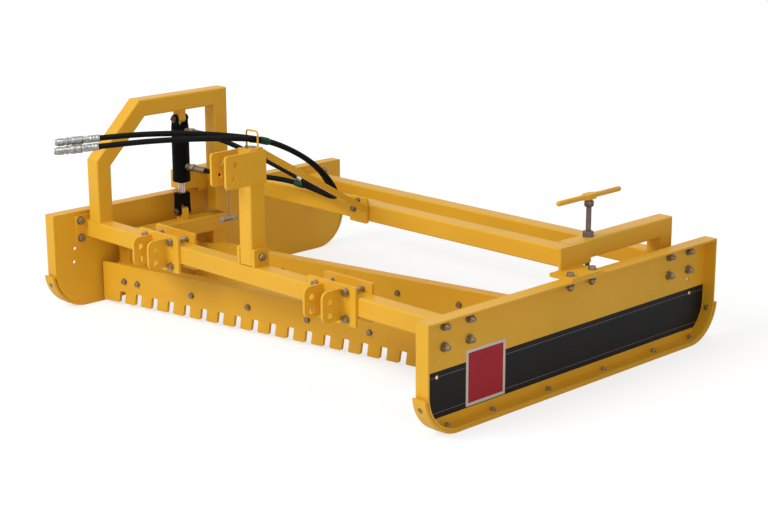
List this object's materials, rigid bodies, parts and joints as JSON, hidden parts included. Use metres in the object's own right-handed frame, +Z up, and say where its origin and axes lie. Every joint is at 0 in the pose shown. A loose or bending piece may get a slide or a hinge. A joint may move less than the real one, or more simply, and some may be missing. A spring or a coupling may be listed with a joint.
{
  "type": "tractor-mounted road grader",
  "caption": "Three-point hitch road grader: a welded frame on two skid side plates, with an angled toothed blade, a second blade, a lift cylinder and a height screw.",
  "frame": {"origin": "on the ground, under the middle of the frame between the two side plates", "axes": "+X to the side plate beside the height screw, which is on the right as seen from the tractor looking back at the grader; -Y forward to the tractor; +Z up"},
  "size_m": [2.472, 2.2137, 0.99],
  "materials": {
    "yellow_paint": "semi-gloss powder coat",
    "hose": "matte",
    "zinc": "zinc plated",
    "black_paint": "satin black",
    "bare_rod": "bright"
  },
  "bodies": {
    "frame": {"side_plate_left": "yellow_paint", "side_plate_right": "yellow_paint", "wear_shoe_left": "yellow_paint", "wear_shoe_right": "yellow_paint", "front_beam": "yellow_paint", "rear_beam": "yellow_paint", "foot_plate_left": "yellow_paint", "foot_plate_right": "yellow_paint", "end_box_left": "yellow_paint", "right_end_plate": "yellow_paint", "middle_beam": "yellow_paint", "right_arm": "yellow_paint", "arm_nut": "zinc", "cylinder_arch": "yellow_paint", "arch_lug": "yellow_paint", "cylinder_barrel": "black_paint", "port_fittings": "zinc", "upper_pin": "zinc", "mast_foot_lugs": "yellow_paint", "mast_bolt": "zinc", "mast_post": "yellow_paint", "top_link_ear_left": "yellow_paint", "top_link_ear_right": "yellow_paint", "hose_guide": "yellow_paint", "mast_brace": "yellow_paint", "brace_clamp": "yellow_paint", "keeper_pin": "zinc", "hitch_bracket_left": "yellow_paint", "hitch_bracket_right": "yellow_paint", "hitch_clamp_left": "yellow_paint", "hitch_clamp_right": "yellow_paint", "hitch_studs_left": "zinc", "hitch_studs_right": "zinc", "upper_hose": "hose", "lower_hose": "hose", "upper_coupler": "zinc", "lower_coupler": "zinc"},
    "nut": {"nut_block": "zinc"},
    "blades": {"front_blade": "yellow_paint", "rear_blade": "yellow_paint", "front_carrier": "yellow_paint", "rear_carrier": "yellow_paint", "left_girder": "yellow_paint", "right_girder": "yellow_paint", "carrier_gussets": "yellow_paint", "girder_lug": "yellow_paint", "nut_lugs": "yellow_paint", "lower_pin": "zinc"},
    "rod": {"cylinder_rod": "bare_rod", "rod_fork": "black_paint"},
    "screw": {"height_screw": "bare_rod", "screw_handle": "yellow_paint"}
  },
  "joints": [
    {"name": "screw_turn", "type": "hinge", "parent": "frame", "child": "screw", "pos_m": [1.072, 0.213, 0.6], "axis": [0, 0, 1], "range_deg": [-4200, 1200]},
    {"name": "right_lift", "type": "hinge", "parent": "frame", "child": "nut", "pos_m": [-1.088, 0, 0.381], "axis": [0, -1, 0], "range_deg": [-1.87, 0.54]},
    {"name": "blade_tilt", "type": "hinge", "parent": "nut", "child": "blades", "pos_m": [1.072, 0.213, 0.381], "axis": [0, 1, 0], "range_deg": [-1.86, 0.53]},
    {"name": "rod_slide", "type": "slide", "parent": "frame", "child": "rod", "axis": [0, 0, 1], "range_m": [-0.0705, 0.0205]}
  ],
  "couplings": [
    {"joint": "right_lift", "follows": "screw_turn", "ratio": 0.0004421},
    {"joint": "rod_slide", "follows": "blade_tilt", "m_per_rad": 2.16}
  ]
}
